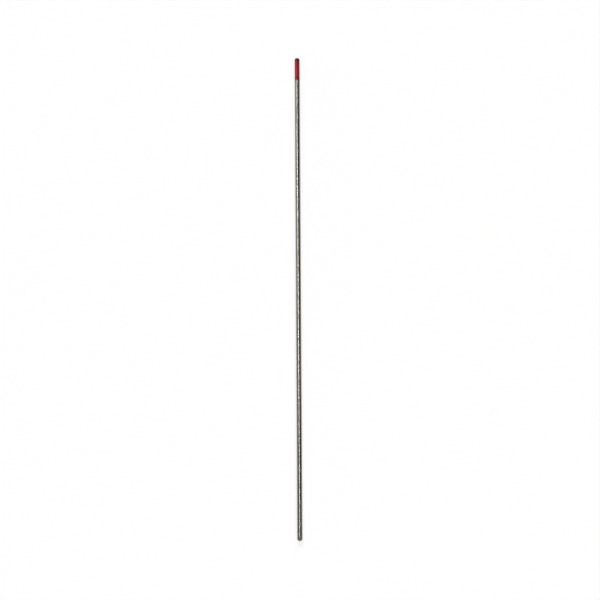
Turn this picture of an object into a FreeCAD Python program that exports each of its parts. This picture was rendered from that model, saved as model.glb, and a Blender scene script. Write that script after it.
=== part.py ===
import FreeCAD, Part

import math
import os

from FreeCAD import Vector

# A tungsten electrode for inert gas arc welding, as sold, before its working end is sharpened.
# It is one ground rod. Its tail end has been dipped in red lacquer, the colour that names its alloy.
# Millimetres. The rod lies along Y, its axis through the origin at mid-length, the red end at +Y.

# The rod: pressed, sintered, swaged and drawn, then centreless ground to size and cropped to length
ROD_DIAMETER = 1.6
ROD_LENGTH = 175.0
EDGE_BREAK = 0.25  # leg of the 45 degree bevel round each end
EDGE_BLEND = 0.08  # radius where a bevel runs into the side and into the end face
TAIL_TAPER = 0.02  # what grinding took off the radius by the tail end
TAPER_LENGTH = 8.6  # the stretch over which it did so

# The lacquer: a thin dried film over the tail end, which drew thin at the bevel while it was wet
COAT_LENGTH = 8.4  # how far the end was dipped
COAT_AT_TIP = 0.022  # thickness on the side, next to the bevel
COAT_AT_EDGE = 0.03  # thickness on the side, next to the bead
COAT_ON_BEVEL = 0.02
COAT_ON_FACE = 0.045  # thickness at the middle of the end face
COAT_SHOULDER = 0.18  # radius of the film over each corner of the bevel
CROWN_RADIUS = 2.0  # radius of the drop that dried on the end face
BEAD_LENGTH = 0.6  # the bead where the wet lacquer stopped running
BEAD_RISE = 0.015  # how far its crest stands above the film
BEAD_CREST = 0.6  # radius of the crest along the rod
BEAD_FOOT = 2.0  # radius where the bead's slope runs out into the film

AXIS_POINT = Vector(0, 0, 0)
ALONG = Vector(0, 1, 0)


def rounded_corner(before, corner, after, radius):
    """The start, middle and end of the arc that rounds a corner, no longer than its sides allow."""
    back = (before - corner).normalize()
    ahead = (after - corner).normalize()
    half_turn = (math.pi - back.getAngle(ahead)) / 2
    shorter_side = min((before - corner).Length, (after - corner).Length)
    reach = min(radius * math.tan(half_turn), 0.45 * shorter_side)
    radius = reach / math.tan(half_turn)
    inwards = (back + ahead).normalize()
    middle = corner + inwards * (radius / math.cos(half_turn) - radius)
    return corner + back * reach, middle, corner + ahead * reach


def turned(outline):
    """A solid of revolution about the rod's axis. Outline: distance from axis, place along, rounding."""
    corners = [Vector(out, along, 0) for out, along, rounding in outline]
    bends = []
    for i, (out, along, rounding) in enumerate(outline):
        if rounding:
            after = corners[(i + 1) % len(corners)]
            bends.append(rounded_corner(corners[i - 1], corners[i], after, rounding))
        else:
            bends.append((corners[i], None, corners[i]))
    edges = []
    for i, (start, middle, end) in enumerate(bends):
        if middle is not None:
            edges.append(Part.Arc(start, middle, end).toShape())
        following = bends[(i + 1) % len(bends)][0]
        edges.append(Part.LineSegment(end, following).toShape())
    section = Part.Face(Part.Wire(edges))
    return section.revolve(AXIS_POINT, ALONG, 360)


def tail_outline():
    """The rod's tail from the middle of its face to where the taper starts, bevel and blends included."""
    radius = ROD_DIAMETER / 2
    end = ROD_LENGTH / 2
    tip_radius = radius - TAIL_TAPER
    return [
        (0, end, 0),
        (tip_radius - EDGE_BREAK, end, EDGE_BLEND),
        (tip_radius, end - EDGE_BREAK, EDGE_BLEND),
        (radius, end - TAPER_LENGTH, 0),
    ]


def tungsten_rod():
    """The whole rod: a straight ground side, a slightly tapered tail, and flat ends with a bevel."""
    radius = ROD_DIAMETER / 2
    end = ROD_LENGTH / 2
    return turned(
        [
            *tail_outline(),
            (radius, EDGE_BREAK - end, EDGE_BLEND),
            (radius - EDGE_BREAK, -end, EDGE_BLEND),
            (0, -end, 0),
        ]
    )


def rod_radius_at(along):
    """The rod's radius at a place on its side, bevels apart."""
    taper_start = ROD_LENGTH / 2 - TAPER_LENGTH
    slope = TAIL_TAPER / (TAPER_LENGTH - EDGE_BREAK)
    return ROD_DIAMETER / 2 - slope * max(0, along - taper_start)


def colour_coat():
    """The lacquer cap: its inside is the rod's own surface, its outside thins towards the tip."""
    middle, face, bevel, taper_start = tail_outline()
    end = ROD_LENGTH / 2
    edge = end - COAT_LENGTH
    inside = [middle, face, bevel]
    if edge < taper_start[1]:
        inside.append(taper_start)
    inside.append((rod_radius_at(edge), edge, 0))
    crest = edge + BEAD_LENGTH / 3
    above_bead = edge + BEAD_LENGTH
    bevel_step = COAT_ON_BEVEL * math.sqrt(2) - COAT_AT_TIP
    outside = [
        (rod_radius_at(crest) + COAT_AT_EDGE + BEAD_RISE, crest, BEAD_CREST),
        (rod_radius_at(above_bead) + COAT_AT_EDGE, above_bead, BEAD_FOOT),
        (bevel[0] + COAT_AT_TIP, bevel[1] + bevel_step, COAT_SHOULDER),
        (face[0] + bevel_step, end + COAT_AT_TIP, COAT_SHOULDER),
        (face[0] / 2, end + COAT_ON_FACE, CROWN_RADIUS),
        (0, end + COAT_ON_FACE, 0),
    ]
    return turned(inside + outside)


PARTS = {
    "tungsten_rod": tungsten_rod,
    "colour_coat": colour_coat,
}

os.makedirs("parts", exist_ok=True)
for name, make in PARTS.items():
    solid = make()
    solid.exportStep("parts/" + name + ".step")
    print(name, "valid" if solid.isValid() else "NOT VALID", "volume", round(solid.Volume, 4))
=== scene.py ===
import math

import bpy
from mathutils import Matrix, Vector


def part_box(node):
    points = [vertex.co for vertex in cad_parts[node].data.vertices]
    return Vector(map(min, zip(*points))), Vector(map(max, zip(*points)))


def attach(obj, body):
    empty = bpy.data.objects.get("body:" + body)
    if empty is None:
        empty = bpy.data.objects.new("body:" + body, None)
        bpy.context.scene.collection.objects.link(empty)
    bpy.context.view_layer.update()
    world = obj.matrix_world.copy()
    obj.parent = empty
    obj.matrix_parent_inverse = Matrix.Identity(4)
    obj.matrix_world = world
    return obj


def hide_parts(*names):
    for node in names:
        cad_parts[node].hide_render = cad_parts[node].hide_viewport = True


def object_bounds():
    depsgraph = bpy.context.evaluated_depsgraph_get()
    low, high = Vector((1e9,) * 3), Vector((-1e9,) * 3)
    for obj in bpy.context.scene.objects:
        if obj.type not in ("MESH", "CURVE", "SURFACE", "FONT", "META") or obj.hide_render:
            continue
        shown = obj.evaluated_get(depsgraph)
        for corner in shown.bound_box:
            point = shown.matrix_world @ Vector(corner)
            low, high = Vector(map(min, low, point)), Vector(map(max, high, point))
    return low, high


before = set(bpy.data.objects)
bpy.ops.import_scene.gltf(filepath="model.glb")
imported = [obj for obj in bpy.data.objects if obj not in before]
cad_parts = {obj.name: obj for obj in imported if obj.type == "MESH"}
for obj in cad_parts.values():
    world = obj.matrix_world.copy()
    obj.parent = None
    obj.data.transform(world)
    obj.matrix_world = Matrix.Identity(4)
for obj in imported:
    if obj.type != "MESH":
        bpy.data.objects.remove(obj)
cad_low, cad_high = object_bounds()


# The rod. Tungsten with a small oxide addition, pressed, sintered, swaged and drawn to a bar, then
# centreless ground to size. The wheel leaves fine rings round it. The ends are cropped flat and
# bevelled, and the tail narrows by a few hundredths of a millimetre.
rod_low, rod_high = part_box("tungsten_rod")
ROD_RADIUS = rod_high.x
BARE_END = rod_low.y
TAIL_END = rod_high.y
BEVEL = 0.00025
BEVEL_BLEND = 0.00004  # how far the blend reaches along each side of a bevel's corner
TAIL_TAPER = 0.00002
TAPER_LENGTH = 0.0086
FACETS = 96
BLEND_STEPS = 4
FACE_HOLD = 0.85  # a ring on each end face, at this share of its radius, keeps the face flat
SIDE_HOLD = 1.6  # and one on the side, at this many bevels from the end, keeps the side straight


def softened(outline):
    """An outline of (radius, along, blend) as points, with a short curve where there is a blend."""
    corners = [Vector((radius, along)) for radius, along, blend in outline]
    points = []
    for i, (radius, along, blend) in enumerate(outline):
        corner = corners[i]
        if not blend:
            points.append(corner)
            continue
        back = corners[i - 1] - corner
        ahead = corners[i + 1] - corner
        reach = min(blend, 0.45 * back.length, 0.45 * ahead.length)
        start = corner + back.normalized() * reach
        end = corner + ahead.normalized() * reach
        for step in range(BLEND_STEPS + 1):
            share = step / BLEND_STEPS
            points.append(start.lerp(corner, share).lerp(corner.lerp(end, share), share))
    return points


def turned(name, outline, shaped=None):
    """A closed mesh turned about Y from an outline that starts and ends on the axis."""
    places = softened(outline)
    vertices = [(0, places[0].y, 0)]
    for place in places[1:-1]:
        for facet in range(FACETS):
            angle = 2 * math.pi * facet / FACETS
            radius, along = shaped(angle, *place) if shaped else place
            vertices.append((radius * math.cos(angle), along, radius * math.sin(angle)))
    vertices.append((0, places[-1].y, 0))
    last = len(vertices) - 1
    rings = len(places) - 2
    faces = []
    for facet in range(FACETS):
        beside = (facet + 1) % FACETS
        faces.append((0, 1 + facet, 1 + beside))
        for ring in range(rings - 1):
            here = 1 + ring * FACETS
            over = here + FACETS
            faces.append((here + facet, over + facet, over + beside, here + beside))
        top = 1 + (rings - 1) * FACETS
        faces.append((last, top + beside, top + facet))
    mesh = bpy.data.meshes.new(name)
    mesh.from_pydata(vertices, [], faces)
    mesh.shade_smooth()
    piece = bpy.data.objects.new(name, mesh)
    bpy.context.scene.collection.objects.link(piece)
    return piece


bare_face = ROD_RADIUS - BEVEL
tail_radius = ROD_RADIUS - TAIL_TAPER
tail_face = tail_radius - BEVEL
rod = turned(
    "tungsten_rod_ground",
    [
        (0, BARE_END, 0),
        (bare_face * FACE_HOLD, BARE_END, 0),
        (bare_face, BARE_END, BEVEL_BLEND),
        (ROD_RADIUS, BARE_END + BEVEL, BEVEL_BLEND),
        (ROD_RADIUS, BARE_END + BEVEL * SIDE_HOLD, 0),
        (ROD_RADIUS, TAIL_END - TAPER_LENGTH, 0),
        (tail_radius, TAIL_END - BEVEL, BEVEL_BLEND),
        (tail_face, TAIL_END, BEVEL_BLEND),
        (tail_face * FACE_HOLD, TAIL_END, 0),
        (0, TAIL_END, 0),
    ],
)


def add(tree, kind, inputs=None, **settings):
    """A node with its settings and its inputs, each a plain value or another node's output."""
    made = tree.nodes.new(kind)
    for setting, value in settings.items():
        setattr(made, setting, value)
    for socket, value in (inputs or {}).items():
        if isinstance(value, bpy.types.NodeSocket):
            tree.links.new(value, made.inputs[socket])
        else:
            made.inputs[socket].default_value = value
    return made


def sums(tree, operation, *values, **settings):
    """The result of a Math node on plain values or other nodes' outputs."""
    made = add(tree, "ShaderNodeMath", dict(enumerate(values)), operation=operation, **settings)
    return made.outputs[0]


def stretched(tree, place, per_metre):
    """Coordinates multiplied by counts per metre along each axis."""
    inputs = {0: place, 1: per_metre}
    return add(tree, "ShaderNodeVectorMath", inputs, operation="MULTIPLY").outputs[0]


def eased(tree, value, start, end, low=0.0, high=1.0):
    """A soft step from low to high while the value goes from start to end."""
    inputs = {"Value": value, "From Min": start, "From Max": end, "To Min": low, "To Max": high}
    made = add(tree, "ShaderNodeMapRange", inputs, interpolation_type="SMOOTHSTEP")
    return made.outputs["Result"]


def blend(tree, share, low, high):
    """A colour between two, by a share."""
    return add(tree, "ShaderNodeMix", {0: share, 6: low, 7: high}, data_type="RGBA").outputs[2]


def new_group(name, inputs, output):
    """An empty shader group with named inputs (name, kind, value) and one output value."""
    group = bpy.data.node_groups.new(name, "ShaderNodeTree")
    for title, kind, value in inputs:
        socket = group.interface.new_socket(title, in_out="INPUT", socket_type=kind)
        if value is not None:
            socket.default_value = value
    group.interface.new_socket(output, in_out="OUTPUT", socket_type="NodeSocketFloat")
    return group, group.nodes.new("NodeGroupInput").outputs, group.nodes.new("NodeGroupOutput")


def use(tree, group, **values):
    """A group's output, with its own values: per_metre stands for the input named Per metre."""
    inputs = {title.replace("_", " ").capitalize(): value for title, value in values.items()}
    return add(tree, "ShaderNodeGroup", inputs, node_tree=group).outputs[0]


# Streaks: a noise drawn out by its counts per metre along each axis
streaks, given, out = new_group(
    "streaks",
    [
        ("Place", "NodeSocketVector", None),
        ("Per metre", "NodeSocketVector", (1000, 1000, 1000)),
        ("Detail", "NodeSocketFloat", 2.0),
        ("Contrast", "NodeSocketFloat", 1.0),
    ],
    "Value",
)
drawn_out = stretched(streaks, given["Place"], given["Per metre"])
noise = add(
    streaks,
    "ShaderNodeTexNoise",
    {"Vector": drawn_out, "Scale": 1.0, "Detail": given["Detail"]},
)
centred = sums(streaks, "SUBTRACT", noise.outputs["Fac"], 0.5)
spread = sums(streaks, "MULTIPLY_ADD", centred, given["Contrast"], 0.5, use_clamp=True)
streaks.links.new(spread, out.inputs["Value"])

# Marks: soft patches that fingers, wrapping and rubbing leave
marks, given, out = new_group(
    "marks",
    [
        ("Place", "NodeSocketVector", None),
        ("Per metre", "NodeSocketVector", (200, 200, 200)),
        ("Bare", "NodeSocketFloat", 0.45),
        ("Covered", "NodeSocketFloat", 0.7),
    ],
    "Mask",
)
patches = add(
    marks,
    "ShaderNodeTexNoise",
    {
        "Vector": stretched(marks, given["Place"], given["Per metre"]),
        "Scale": 1.0,
        "Detail": 5.0,
        "Roughness": 0.6,
    },
)
mask = eased(marks, patches.outputs["Fac"], given["Bare"], given["Covered"])
marks.links.new(mask, out.inputs["Mask"])


def new_material(name):
    """A material's tree, its Principled shader and its coordinates node."""
    material = bpy.data.materials.new(name)
    material.use_nodes = True
    tree = material.node_tree
    return material, tree, tree.nodes["Principled BSDF"], add(tree, "ShaderNodeTexCoord").outputs


GROUND_DARK = (0.255, 0.241, 0.221, 1)
GROUND_LIGHT = (0.365, 0.347, 0.323, 1)
HANDLED = (0.22, 0.20, 0.175, 1)
# The end faces' colour: the real cropping lines, in a colour painted darker than the ground side so
# that it stands for the faces' shade.
CROPPED_SHADED_DARK = (0.10, 0.096, 0.09, 1)
CROPPED_SHADED_LIGHT = (0.22, 0.213, 0.203, 1)
FINE_RINGS = (260, 26000, 260)
FEED_RINGS = (180, 2600, 180)
DRAW_LINES = (7000, 30, 7000)
SMUDGES = (420, 75, 420)
CROPPING_LINES = (26000, 500, 900)
RING_DEPTH = 0.00000015
FEED_DEPTH = 0.0000003
CROPPING_DEPTH = 0.0000025
SMUDGE_SHARE = 0.2
ROUGHNESS = 0.14
STREAK_ROUGHNESS = 0.04
SMUDGE_ROUGHNESS = 0.02
CROPPED_ROUGHNESS = 0.18
END_FACE = (0.9, 0.97)  # a surface that faces along the rod by this much or more is an end face
EDGE_TINT = (0.18, 0.18, 0.18, 1)  # darkens what the rod reflects at a glancing angle
RING_STRETCH = 0.7  # the rings draw a reflection out along the rod
QUARTER_TURN = 0.25

tungsten, tree, shader, coordinates = new_material("ground_tungsten")
place = coordinates["Object"]
fine = use(tree, streaks, place=place, per_metre=FINE_RINGS, detail=3.0, contrast=1.6)
feed = use(tree, streaks, place=place, per_metre=FEED_RINGS, contrast=1.5)
drawn = use(tree, streaks, place=place, per_metre=DRAW_LINES, detail=3.0, contrast=1.4)
smudge = use(tree, marks, place=place, per_metre=SMUDGES)
cropping = use(tree, streaks, place=place, per_metre=CROPPING_LINES, detail=4.0, contrast=2.0)
facing = add(tree, "ShaderNodeSeparateXYZ", {0: coordinates["Normal"]}).outputs["Y"]
on_the_face = eased(tree, sums(tree, "ABSOLUTE", facing), *END_FACE)
worked = sums(tree, "ADD", sums(tree, "ADD", fine, feed), drawn)
tone = sums(tree, "MULTIPLY", worked, 1 / 3)
ground = blend(tree, tone, GROUND_DARK, GROUND_LIGHT)
ground = blend(tree, sums(tree, "MULTIPLY", smudge, SMUDGE_SHARE), ground, HANDLED)
# Painted shade on the end faces: they take the darker cropped colour, with the real cropping lines
# running through it.
cropped_and_shaded = blend(tree, cropping, CROPPED_SHADED_DARK, CROPPED_SHADED_LIGHT)
tree.links.new(blend(tree, on_the_face, ground, cropped_and_shaded), shader.inputs["Base Color"])
polish = sums(tree, "MULTIPLY_ADD", tone, STREAK_ROUGHNESS, ROUGHNESS)
polish = sums(tree, "MULTIPLY_ADD", smudge, SMUDGE_ROUGHNESS, polish)
polish = sums(tree, "MULTIPLY_ADD", on_the_face, CROPPED_ROUGHNESS, polish)
tree.links.new(polish, shader.inputs["Roughness"])
height = sums(tree, "MULTIPLY_ADD", feed, FEED_DEPTH, sums(tree, "MULTIPLY", fine, RING_DEPTH))
on_face_only = sums(tree, "MULTIPLY", cropping, on_the_face)
height = sums(tree, "MULTIPLY_ADD", on_face_only, CROPPING_DEPTH, height)
relief = add(tree, "ShaderNodeBump", {"Height": height, "Distance": 1.0})
tree.links.new(relief.outputs["Normal"], shader.inputs["Normal"])
around = add(tree, "ShaderNodeTangent", direction_type="RADIAL", axis="Y")
tree.links.new(around.outputs["Tangent"], shader.inputs["Tangent"])
shader.inputs["Metallic"].default_value = 1.0
shader.inputs["Specular Tint"].default_value = EDGE_TINT
shader.inputs["Anisotropic"].default_value = RING_STRETCH
shader.inputs["Anisotropic Rotation"].default_value = QUARTER_TURN
rod.data.materials.append(tungsten)

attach(rod, "root")
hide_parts("tungsten_rod")


# The colour coat. Red lacquer that names the alloy. The tail was dipped 8.4 mm deep and dried tip
# down, so the film is thin at the bevel, has a drop on the face and ends in a bead that wanders.
coat_low, coat_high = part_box("colour_coat")
COAT_EDGE = coat_low.y
CROWN = coat_high.y
FILM_AT_TIP = 0.000022
FILM_AT_EDGE = 0.00003
FILM_ON_BEVEL = 0.00002
FILM_BLEND = 0.00008
CROWN_BLEND = 0.0001
BEAD_LENGTH = 0.0006
BEAD_HEIGHT = 0.0000365
BEAD_NOSE = (0.7, 0.1)  # the steep front ends at this share of the height, this share of the length in
NOSE_BLEND = 0.00003
CREST_BLEND = 0.00008
FOOT_BLEND = 0.00012
EDGE_WANDER = 0.00006  # how far the bead strays from its mean place
WANDER_REACH = 0.0025  # how far above the edge that is still felt
EDGE_WAVES = ((1, 0.7, 0.8), (3, 0.3, 2.1))  # waves round the rod, share, phase
FILM_WAVES = ((1, 0.12, -1.9), (3, 0.05, 0))
NO_FILM = 0.000001  # under this thickness the cap's wall is its inside
RUN_HEIGHT = 0.000011  # a sag that ran down one side
RUN_ANGLE = math.radians(102)
RUN_WIDTH = math.radians(15)
RUN_MIDDLE = COAT_EDGE + 0.0036
RUN_LENGTH = 0.0017
SIDE_RINGS = 40


def rod_radius_at(along):
    """The rod's radius at a place on its side."""
    taper_start = TAIL_END - TAPER_LENGTH
    share = max(0, along - taper_start) / (TAPER_LENGTH - BEVEL)
    return ROD_RADIUS - TAIL_TAPER * share


def waves(angle, parts):
    """The sum of a few waves round the rod at an angle."""
    return sum(share * math.sin(count * angle + phase) for count, share, phase in parts)


def coat_shape(angle, radius, along):
    """Lets the bead wander, the film vary round the rod and the run stand out. Bevel and face stay."""
    above_edge = along - COAT_EDGE
    fade = max(0, 1 - above_edge / WANDER_REACH)
    moved = along + EDGE_WANDER * fade * waves(angle, EDGE_WAVES)
    under = rod_radius_at(along)
    thickness = radius - under
    if thickness < NO_FILM or along > TAIL_END - BEVEL:
        return radius + rod_radius_at(moved) - under, moved
    uneven = 1 + waves(angle, FILM_WAVES)
    turn = math.remainder(angle - RUN_ANGLE, 2 * math.pi)
    across = math.exp(-((turn / RUN_WIDTH) ** 2))
    lengthwise = math.exp(-(((along - RUN_MIDDLE) / RUN_LENGTH) ** 4))
    return rod_radius_at(moved) + thickness * uneven + RUN_HEIGHT * across * lengthwise, moved


nose_height, nose_place = BEAD_NOSE
edge_radius = rod_radius_at(COAT_EDGE)
bevel_step = FILM_ON_BEVEL * math.sqrt(2) - FILM_AT_TIP
side_low = COAT_EDGE + BEAD_LENGTH
side_high = TAIL_END - BEVEL + bevel_step
side = []
for ring in range(1, SIDE_RINGS):
    share = ring / SIDE_RINGS
    film = FILM_AT_EDGE + (FILM_AT_TIP - FILM_AT_EDGE) * share
    along = side_low + (side_high - side_low) * share
    side.append((rod_radius_at(along) + film, along, 0))
coat = turned(
    "colour_coat_red",
    [
        (0, TAIL_END, 0),
        (tail_face * FACE_HOLD, TAIL_END, 0),
        (tail_face, TAIL_END, BEVEL_BLEND),
        (tail_radius, TAIL_END - BEVEL, BEVEL_BLEND),
        (rod_radius_at(side_low), side_low, 0),
        (edge_radius, COAT_EDGE, 0),
        (edge_radius + BEAD_HEIGHT * nose_height, COAT_EDGE + BEAD_LENGTH * nose_place, NOSE_BLEND),
        (edge_radius + BEAD_HEIGHT, COAT_EDGE + BEAD_LENGTH / 3, CREST_BLEND),
        (rod_radius_at(side_low) + FILM_AT_EDGE, side_low, FOOT_BLEND),
        *side,
        (tail_radius + FILM_AT_TIP, side_high, FILM_BLEND),
        (tail_face + bevel_step, TAIL_END + FILM_AT_TIP, FILM_BLEND),
        (tail_face / 2, CROWN, CROWN_BLEND),
        (0, CROWN, 0),
    ],
    coat_shape,
)

CRIMSON = (0.24, 0.008, 0.011, 1)
SCARLET = (0.32, 0.015, 0.012, 1)
TIP_DARK = (0.07, 0.009, 0.012, 1)
EDGE_DARK = (0.10, 0.020, 0.012, 1)
METAL_SHOWING = (0.15, 0.07, 0.06, 1)
TIP_ZONE = 0.0028  # how far down from the tip, and up from the edge, the film darkens
EDGE_ZONE = 0.0009
ZONE_MARGIN = 0.0001  # the last stretch at tip and edge is fully dark
WORN_LOW = (1.25, 1.0)  # in bevels down from the tip: the worn corner fades in here
WORN_HIGH = (0.5, 0.9)  # and out again here
FILM_FLOW = (1300, 160, 1300)
DULL_SPOTS = (900, 500, 900)
RUBBED_SPOTS = (2600, 2600, 2600)
ORANGE_PEEL = (3200, 1900, 3200)
FLOW_DEPTH = 0.000004
PEEL_DEPTH = 0.0000011
GLOSS = 0.08
DULLED = 0.1  # what a dull spot adds to the roughness
THIN = 0.08  # how much of the metal shines through the film
THINNED = 0.12  # what the film's flow adds to that, and what a worn corner adds
WORN_THROUGH = 0.5
LACQUER_IOR = 1.45
LACQUER_SHINE = 0.25

lacquer, tree, shader, coordinates = new_material("red_lacquer")
place = coordinates["Object"]
along = add(tree, "ShaderNodeSeparateXYZ", {0: place}).outputs["Y"]
flow = use(tree, streaks, place=place, per_metre=FILM_FLOW, detail=3.0, contrast=1.5)
near_tip = eased(tree, along, TAIL_END - TIP_ZONE, TAIL_END - ZONE_MARGIN)
near_edge = eased(tree, along, COAT_EDGE + EDGE_ZONE, COAT_EDGE + ZONE_MARGIN)
film = blend(tree, flow, CRIMSON, SCARLET)
film = blend(tree, near_tip, film, TIP_DARK)
film = blend(tree, near_edge, film, EDGE_DARK)
below_corner = eased(tree, along, *(TAIL_END - BEVEL * share for share in WORN_LOW))
above_corner = eased(tree, along, *(TAIL_END - BEVEL * share for share in WORN_HIGH))
rubbed = use(tree, marks, place=place, per_metre=RUBBED_SPOTS, bare=0.45, covered=0.65)
worn = sums(tree, "MULTIPLY", sums(tree, "MULTIPLY", below_corner, above_corner), rubbed)
tree.links.new(blend(tree, worn, film, METAL_SHOWING), shader.inputs["Base Color"])
dull = use(tree, marks, place=place, per_metre=DULL_SPOTS)
gloss = sums(tree, "MULTIPLY_ADD", dull, DULLED, GLOSS)
tree.links.new(gloss, shader.inputs["Roughness"])
seen_through = sums(tree, "MULTIPLY_ADD", flow, THINNED, THIN)
seen_through = sums(tree, "MULTIPLY_ADD", worn, WORN_THROUGH, seen_through)
tree.links.new(seen_through, shader.inputs["Metallic"])
peel = use(tree, streaks, place=place, per_metre=ORANGE_PEEL, detail=1.0, contrast=1.4)
height = sums(tree, "MULTIPLY_ADD", peel, PEEL_DEPTH, sums(tree, "MULTIPLY", flow, FLOW_DEPTH))
relief = add(tree, "ShaderNodeBump", {"Height": height, "Distance": 1.0})
tree.links.new(relief.outputs["Normal"], shader.inputs["Normal"])
shader.inputs["IOR"].default_value = LACQUER_IOR
shader.inputs["Specular IOR Level"].default_value = LACQUER_SHINE
coat.data.materials.append(lacquer)

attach(coat, "root")
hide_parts("colour_coat")


# The floor. A pale matt board under the rod, which lies on the lacquer's bead and its bare end. The
# camera and the rod's reflections see it partly whitened near the rod, where it keeps the rod's
# shadow, and all white further off.
FLOOR_SIZE = 20.0
FLOOR_COLOUR = (0.94, 0.94, 0.94, 1)
WHITENED = 0.55
WHITE_FROM = 0.3  # metres from the rod's middle where the board starts to turn all white
WHITE_AT = 1.2  # and where it is all white
floor_level = min(cad_low.z, -coat_high.x)
half = FLOOR_SIZE / 2
board = bpy.data.meshes.new("floor")
board.from_pydata(
    [
        (-half, -half, floor_level),
        (half, -half, floor_level),
        (half, half, floor_level),
        (-half, half, floor_level),
    ],
    [],
    [(0, 1, 2, 3)],
)
floor = bpy.data.objects.new("floor", board)
bpy.context.scene.collection.objects.link(floor)

paper, tree, shader, coordinates = new_material("pale_board")
shader.inputs["Base Color"].default_value = FLOOR_COLOUR
shader.inputs["Roughness"].default_value = 0.9
rays = add(tree, "ShaderNodeLightPath").outputs
seen = sums(tree, "MAXIMUM", rays["Is Camera Ray"], rays["Is Glossy Ray"])
seen = sums(tree, "MAXIMUM", seen, rays["Is Transmission Ray"])
away = add(tree, "ShaderNodeVectorMath", {0: coordinates["Object"]}, operation="LENGTH")
whiter = eased(tree, away.outputs["Value"], WHITE_FROM, WHITE_AT, WHITENED, 1.0)
share = sums(tree, "MULTIPLY", seen, whiter)
white = add(tree, "ShaderNodeEmission", {"Color": (1, 1, 1, 1), "Strength": 1.0})
whitened = add(tree, "ShaderNodeMixShader", {0: share, 1: shader.outputs[0], 2: white.outputs[0]})
tree.links.new(whitened.outputs[0], tree.nodes["Material Output"].inputs["Surface"])
floor.data.materials.append(paper)


# The light. A long softbox high on the left with a narrow strip lamp in front of it, both askew, so
# that their stripe drifts across the rod from end to end. A softbox beyond the tail lights the left
# flank, two fills light the floor, and the room is dim down to a white horizon, darkest on the right.
ASKEW = (-0.886, 0.335, -0.323)
UPWARDS_LEFT = (0.61, 0, 0.79)
CROSSWISE = (1, 0, 0)


def softbox(name, place, along, width, length, level):
    """An area lamp that faces the rod's middle, its long side nearest to a direction, at a radiance."""
    lamp = bpy.data.lights.new(name, "AREA")
    lamp.shape = "RECTANGLE"
    lamp.size = width
    lamp.size_y = length
    lamp.energy = 4 * level * width * length
    box = bpy.data.objects.new(name, lamp)
    back = Vector(place).normalized()
    across = Vector(along).cross(back).normalized()
    turn = Matrix((across, back.cross(across), back)).transposed()
    box.matrix_world = Matrix.Translation(place) @ turn.to_4x4()
    box.visible_camera = False
    bpy.context.scene.collection.objects.link(box)


softbox("key_softbox", (-0.33, 0.93, 1.93), ASKEW, 0.3, 1.5, 2.3)
softbox("strip_lamp", (-0.41, 0.93, 1.84), ASKEW, 0.03, 0.9, 20.0)
softbox("left_softbox", (-1.34, 1.4, 1.03), UPWARDS_LEFT, 0.8, 1.75, 1.0)
softbox("front_softbox", (0.25, -1.6, 2.15), CROSSWISE, 1.5, 2.5, 3.9)
softbox("back_softbox", (0.25, 2.5, 1.65), CROSSWISE, 1.25, 2.5, 3.9)

HORIZON = (1.0, 1.0, 1.0, 1)
ROOM_LEFT = (0.10, 0.097, 0.093, 1)
ROOM_RIGHT = (0.05, 0.048, 0.046, 1)
LEFT_TO_RIGHT = (-0.1, 0.3)  # sideways part of a direction over which the room darkens
HORIZON_TO_ROOM = (0.04, 0.12)  # upward part over which the horizon fades
world = bpy.data.worlds.new("room")
world.use_nodes = True
bpy.context.scene.world = world
tree = world.node_tree
way = add(tree, "ShaderNodeTexCoord").outputs["Generated"]
way = add(tree, "ShaderNodeSeparateXYZ", {0: way}).outputs
room = blend(tree, eased(tree, way["X"], *LEFT_TO_RIGHT), ROOM_LEFT, ROOM_RIGHT)
room = blend(tree, eased(tree, way["Z"], *HORIZON_TO_ROOM), HORIZON, room)
tree.links.new(room, tree.nodes["Background"].inputs["Color"])


# The camera. It looks down on the lying rod, which fills the picture from top to bottom as in the
# photograph: the bare end a little nearer, the red end leaning a touch to the left.
PICTURE = 600  # pixels, each way
DISTANCE = 1.5
ELEVATION = math.radians(64)
TOP_PIXEL = (297.1, 58.45)
BOTTOM_PIXEL = (300.0, 540.7)
SENSOR = 36.0

half_length = (CROWN - BARE_END) / 2
near_share = half_length * math.sin(ELEVATION) / (DISTANCE - half_length * math.cos(ELEVATION))
far_share = half_length * math.sin(ELEVATION) / (DISTANCE + half_length * math.cos(ELEVATION))
pixels_per_share = (BOTTOM_PIXEL[1] - TOP_PIXEL[1]) / (near_share + far_share)
middle_row = TOP_PIXEL[1] + pixels_per_share * far_share
lean = math.atan2(BOTTOM_PIXEL[0] - TOP_PIXEL[0], BOTTOM_PIXEL[1] - TOP_PIXEL[1])
middle_column = TOP_PIXEL[0] + (middle_row - TOP_PIXEL[1]) * math.tan(lean)
metres_per_pixel = DISTANCE / pixels_per_share
aim = Vector(
    (
        (PICTURE / 2 - middle_column) * metres_per_pixel,
        (middle_row - PICTURE / 2) * metres_per_pixel / math.sin(ELEVATION),
        0,
    )
)
back = Vector((0, -math.cos(ELEVATION), math.sin(ELEVATION)))
lens = bpy.data.cameras.new("camera")
lens.sensor_width = SENSOR
lens.lens = pixels_per_share * SENSOR / PICTURE
lens.clip_start = 0.01
lens.clip_end = 20.0
camera = bpy.data.objects.new("camera", lens)
across = Vector((1, 0, 0))
up = back.cross(across)
turn = Matrix((across, up, back)).transposed() @ Matrix.Rotation(-lean, 3, "Z")
camera.matrix_world = Matrix.Translation(aim + back * DISTANCE) @ turn.to_4x4()
bpy.context.scene.collection.objects.link(camera)
bpy.context.scene.camera = camera
bpy.context.scene.view_settings.view_transform = "Standard"
